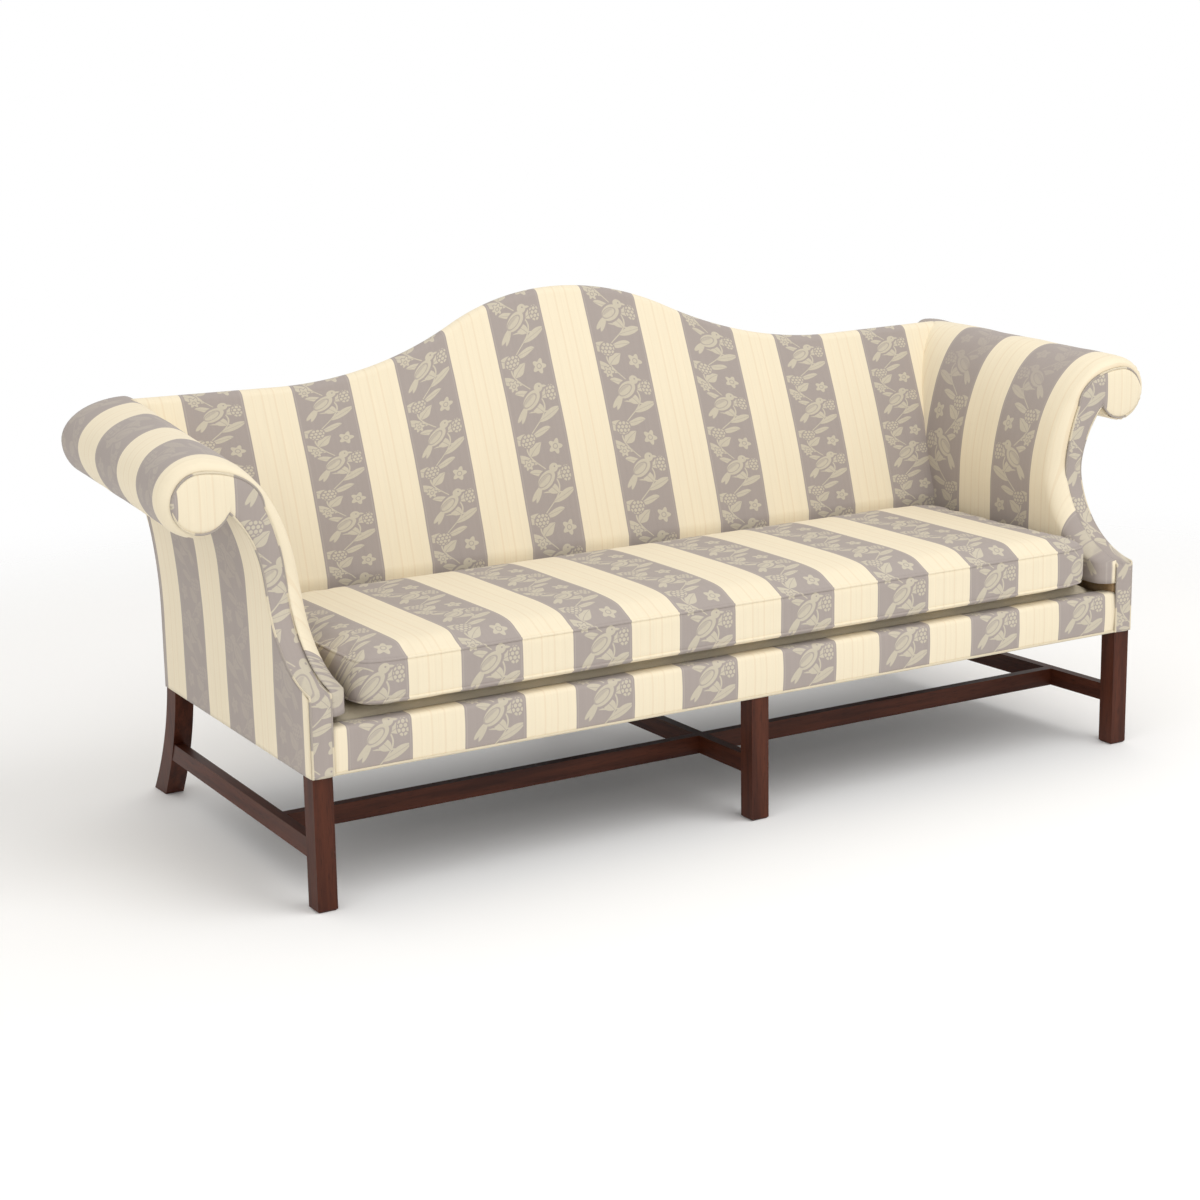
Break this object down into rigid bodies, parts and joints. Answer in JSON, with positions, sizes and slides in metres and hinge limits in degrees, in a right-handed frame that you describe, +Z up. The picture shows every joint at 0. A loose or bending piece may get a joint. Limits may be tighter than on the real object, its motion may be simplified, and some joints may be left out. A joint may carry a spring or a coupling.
{
  "type": "sofa",
  "caption": "Camelback sofa with rolled, swept arms, loose bench cushion, striped upholstery, straight front legs, raked rear legs and stretchers.",
  "frame": {"origin": "on the floor under the middle of the sofa: half way along its length and half way between the nose of the seat cushion and the backs of the rear feet", "axes": "+X along the sofa to the sitter's left as seen from in front, which is the right of a front view; +Y from front to back; +Z up"},
  "size_m": [2.2234, 0.872, 0.9582],
  "materials": {
    "dark_wood": "satin mahogany stain",
    "frame_wood": "raw hardwood",
    "striped_fabric": "woven damask stripe, matt with a slight sheen",
    "deck_cloth": "plain cotton over wadding",
    "black_cloth": "thin dust cloth",
    "webbing_jute": "woven strap",
    "spring_steel": "oiled spring wire",
    "zinc_steel": "zinc plated"
  },
  "bodies": {
    "sofa_frame": {"front_leg_left": "dark_wood", "front_leg_middle": "dark_wood", "front_leg_right": "dark_wood", "rear_leg_left": "dark_wood", "rear_leg_middle": "dark_wood", "rear_leg_right": "dark_wood", "side_stretcher_left": "dark_wood", "side_stretcher_right": "dark_wood", "long_stretcher": "dark_wood", "cross_stretcher": "dark_wood", "front_seat_rail": "frame_wood", "rear_seat_rail": "frame_wood", "side_seat_rail_left": "frame_wood", "side_seat_rail_right": "frame_wood", "seat_brace": "frame_wood", "corner_blocks": "frame_wood", "corner_block_screws": "zinc_steel", "arm_post_left": "frame_wood", "arm_post_right": "frame_wood", "arm_rail_left": "frame_wood", "arm_rail_right": "frame_wood", "arm_tack_rail_left": "frame_wood", "arm_tack_rail_right": "frame_wood", "arm_rear_block_left": "frame_wood", "arm_rear_block_right": "frame_wood", "back_post_left": "frame_wood", "back_post_right": "frame_wood", "back_upright_left": "frame_wood", "back_upright_middle": "frame_wood", "back_upright_right": "frame_wood", "crest_rail": "frame_wood", "back_webbing": "webbing_jute", "seat_springs": "spring_steel", "spring_clips": "zinc_steel", "seat_deck": "deck_cloth", "dust_cover": "black_cloth", "front_rail_cover": "striped_fabric", "arm_facing_left": "striped_fabric", "arm_facing_right": "striped_fabric", "inside_arm_pad_left": "striped_fabric", "inside_arm_pad_right": "striped_fabric", "outside_arm_cover_left": "striped_fabric", "outside_arm_cover_right": "striped_fabric", "inside_back_pad": "striped_fabric", "outside_back_cover": "striped_fabric", "outside_back_wing_left": "striped_fabric", "outside_back_wing_right": "striped_fabric"},
    "loose_cushion": {"seat_cushion": "striped_fabric"}
  },
  "joints": [
    {"name": "cushion_lift", "type": "slide", "parent": "sofa_frame", "child": "loose_cushion", "axis": [0, 0, 1], "range_m": [0, 0.65]}
  ]
}
